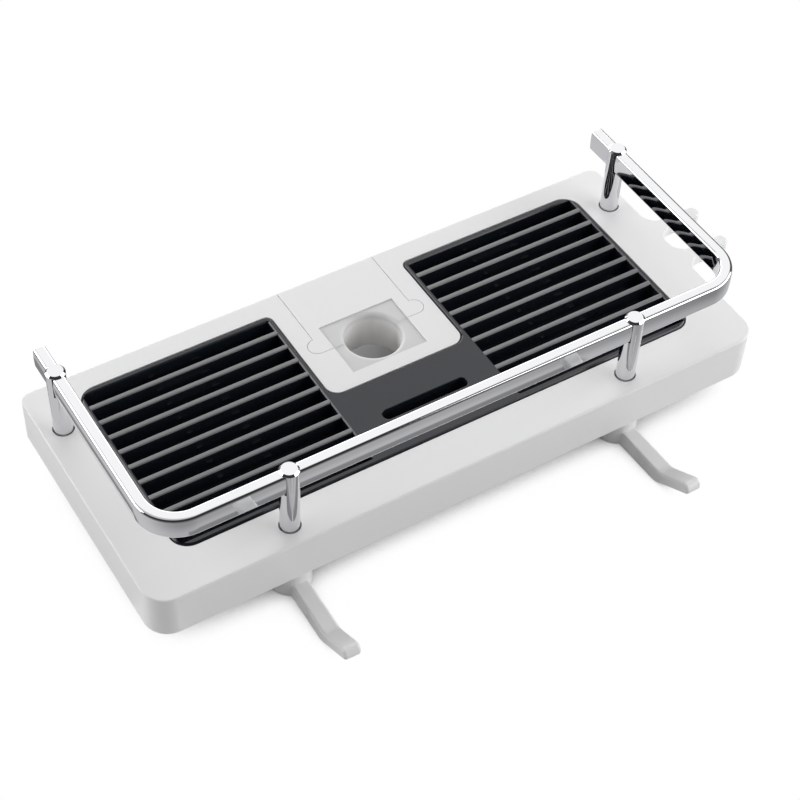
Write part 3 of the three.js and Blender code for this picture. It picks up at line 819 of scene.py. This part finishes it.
studio = {   # the floor is in millimetres, and the reach of its shade in metres
    "white": (1, 1, 1, 1), "floor": -14.7, "floorSize": 14000.0, "floorThick": 10.0,
    # a painted shade colour for the floor where the shelf covers it
    "floorColour": (0.62, 0.62, 0.62, 1), "paintedShadeFloor": (0.34, 0.34, 0.34, 1),
    "shadeReach": 0.16, "shadeSamples": 12, "deepShade": 0.08, "openFloor": 0.44,
    "ambient": 0.32, "horizon": 0.04,
    "dome": 0.65, "domeAxis": (0, 0.5, 0.866), "domeFrom": 0.56, "domeTo": 0.84,
}
pool = {   # the floor as the metal shows it, a painted pool of light with painted shadow strips, in metres
    "near": (0.62, 0.62, 0.63, 1), "far": (0.20, 0.20, 0.205, 1), "under": (0.01, 0.01, 0.01, 1),
    "shape": (0.5, 1, 0), "from": 0.10, "to": 0.19,
    # painted shadow strips in front of the shelf and by its left end
    "shadowStrip": (0.26, 0.26, 0.265, 1), "stripFrom": 0.010, "stripTo": 0.017, "stripY": -0.105,
    "stripMiddle": -0.018, "stripHalf": 0.098, "stripX": -0.155, "stripEnd": -0.04,
}


def lightPath(wire):
    rays = wire.add("ShaderNodeLightPath").socket.node.outputs
    return [Wire(wire.tree, rays["Is " + key + " Ray"]) for key in ("Camera", "Glossy", "Transmission")]


def poolColour(wire, clear):   # a painted pool of light round the shelf, painted shadow strips close to its front and left walls, and painted black shade under it
    spot = ownSpot(wire)
    away = wire.add("ShaderNodeVectorMath", {"operation": "MULTIPLY"}, {0: spot, 1: pool["shape"]}, "Vector")
    away = wire.add("ShaderNodeVectorMath", {"operation": "LENGTH"}, {0: away}, "Value")
    colour = mixed(wire, eased(wire, away, pool["from"], pool["to"]), pool["near"], pool["far"])
    across, along = (coordinate(wire, spot, axis) for axis in "XY")
    beside = abs(across - pool["stripMiddle"]) - pool["stripHalf"]
    front = wire.maths("MAXIMUM", abs(along - pool["stripY"]), beside)
    left = wire.maths("MAXIMUM", abs(across - pool["stripX"]), pool["stripEnd"] - along)
    beyond = eased(wire, wire.maths("MINIMUM", front, left), pool["stripFrom"], pool["stripTo"])
    colour = mixed(wire, beyond, pool["shadowStrip"], colour)
    return mixed(wire, clear, pool["under"], colour)


def makeFloor():
    half, top = studio["floorSize"] / 2, studio["floor"]
    floor = block(-half, -half, top - studio["floorThick"], half, half, top)
    floor.name = "floor"
    floor.data.transform(Matrix.Scale(mm, 4))
    material, wire = newMaterial("paleFloor")
    eye, gloss, through = lightPath(wire)
    openness = wire.add("ShaderNodeAmbientOcclusion", {"samples": studio["shadeSamples"]}, {
        "Distance": studio["shadeReach"]}, "AO")
    clear = eased(wire, openness, studio["deepShade"], studio["openFloor"])
    # painted shade: the floor's colour turns darker where the shelf covers it
    colour = mixed(wire, clear, studio["paintedShadeFloor"], studio["floorColour"])
    pale = wire.add("ShaderNodeBsdfDiffuse", {}, {"Color": colour})
    shown = mixed(wire, gloss, studio["white"], poolColour(wire, clear))
    seen = wire.add("ShaderNodeEmission", {}, {"Color": shown, "Strength": 1.0})
    share = (eye + through) * clear + gloss
    surface = wire.add("ShaderNodeMixShader", {}, {0: share, 1: pale, 2: seen})
    wire.add("ShaderNodeOutputMaterial", {}, {"Surface": surface})
    floor.data.materials.append(material)


def makeWorld():   # white behind the object, dim in the metal between the lamps
    world = bpy.data.worlds.new("studio")
    bpy.context.scene.world = world
    world.use_nodes = True
    world.node_tree.nodes.clear()
    wire = Wire(world.node_tree)
    eye, gloss, through = lightPath(wire)
    facing = wire.add("ShaderNodeTexCoord", out="Generated")
    facing = wire.add("ShaderNodeVectorMath", {"operation": "DOT_PRODUCT"}, {
        0: facing, 1: studio["domeAxis"]}, "Value")
    dome = eased(wire, facing, studio["domeFrom"], studio["domeTo"])
    ambient = studio["ambient"]
    metalLevel = studio["horizon"] + dome * (studio["dome"] - studio["horizon"])
    level = ambient + (eye + through) * (1 - ambient) + gloss * (metalLevel - ambient)
    surface = wire.add("ShaderNodeBackground", {}, {"Color": studio["white"], "Strength": level})
    wire.add("ShaderNodeOutputWorld", {}, {"Surface": surface})


# radiance is what a lamp shows in the metal
lamps = {
    "key": {"at": (0.40, 0.10, 1.25), "aim": (0.02, -0.02, 0), "size": (0.8, 0.5), "radiance": 0.45},
    "above": {"at": (0.42, 0.92, 1.25), "aim": (0.1, 0.05, 0), "size": (1.8, 0.7), "radiance": 0.5},
    "back": {"at": (0.45, 1.30, 0.48), "aim": (0, 0, 0.02), "size": (1.8, 0.8), "radiance": 2.35},
    "leftBack": {"at": (-1.15, 0.75, 0.40), "aim": (0, 0, 0.02), "size": (1.3, 0.9), "radiance": 3.45},
    "rightFront": {"at": (1.07, -0.66, 0.50), "aim": (0, 0, 0.02), "size": (1.5, 0.95), "radiance": 3.1},
}


def makeLamps():
    for name, lamp in lamps.items():
        data = bpy.data.lights.new(name, "AREA")
        data.shape = "RECTANGLE"
        data.size, data.size_y = lamp["size"]
        data.energy = lamp["radiance"] * math.pi * data.size * data.size_y
        light = bpy.data.objects.new(name, data)
        light.location = lamp["at"]
        light.rotation_euler = (Vector(lamp["aim"]) - Vector(lamp["at"])).to_track_quat("-Z", "Y").to_euler()
        bpy.context.scene.collection.objects.link(light)


makeCamera()
makeFloor()
makeWorld()
makeLamps()
bpy.context.scene.view_settings.view_transform = "Standard"
print("studio:", len(lamps), "lamps")
